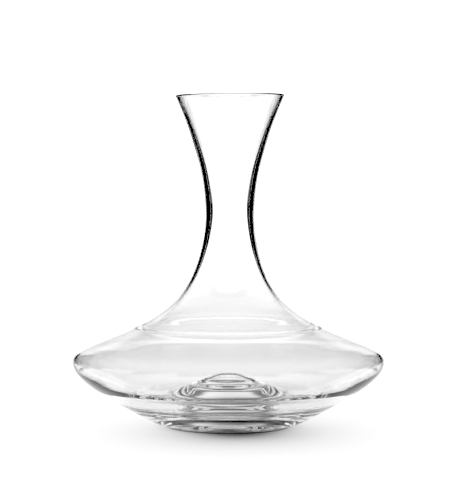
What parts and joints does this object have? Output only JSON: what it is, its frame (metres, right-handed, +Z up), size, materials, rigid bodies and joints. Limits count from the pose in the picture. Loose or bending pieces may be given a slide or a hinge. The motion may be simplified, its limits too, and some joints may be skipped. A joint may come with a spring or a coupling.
{
  "type": "wine decanter",
  "caption": "Clear glass wine decanter: trumpet neck with a fire-polished rim, wide flat bowl for aerating, thick base with a push-up. Stands on a flat ring.",
  "frame": {"origin": "centre of the circle on which the decanter stands, on the table plane", "axes": "+Z up along the vessel's axis of revolution; X and Y are free, as the vessel is round"},
  "size_m": [0.2178, 0.2178, 0.2324],
  "materials": {
    "clear_glass": "fire-polished, clear and colourless"
  },
  "bodies": {
    "root": {"neck": "clear_glass", "bowl": "clear_glass", "base": "clear_glass"}
  },
  "joints": []
}
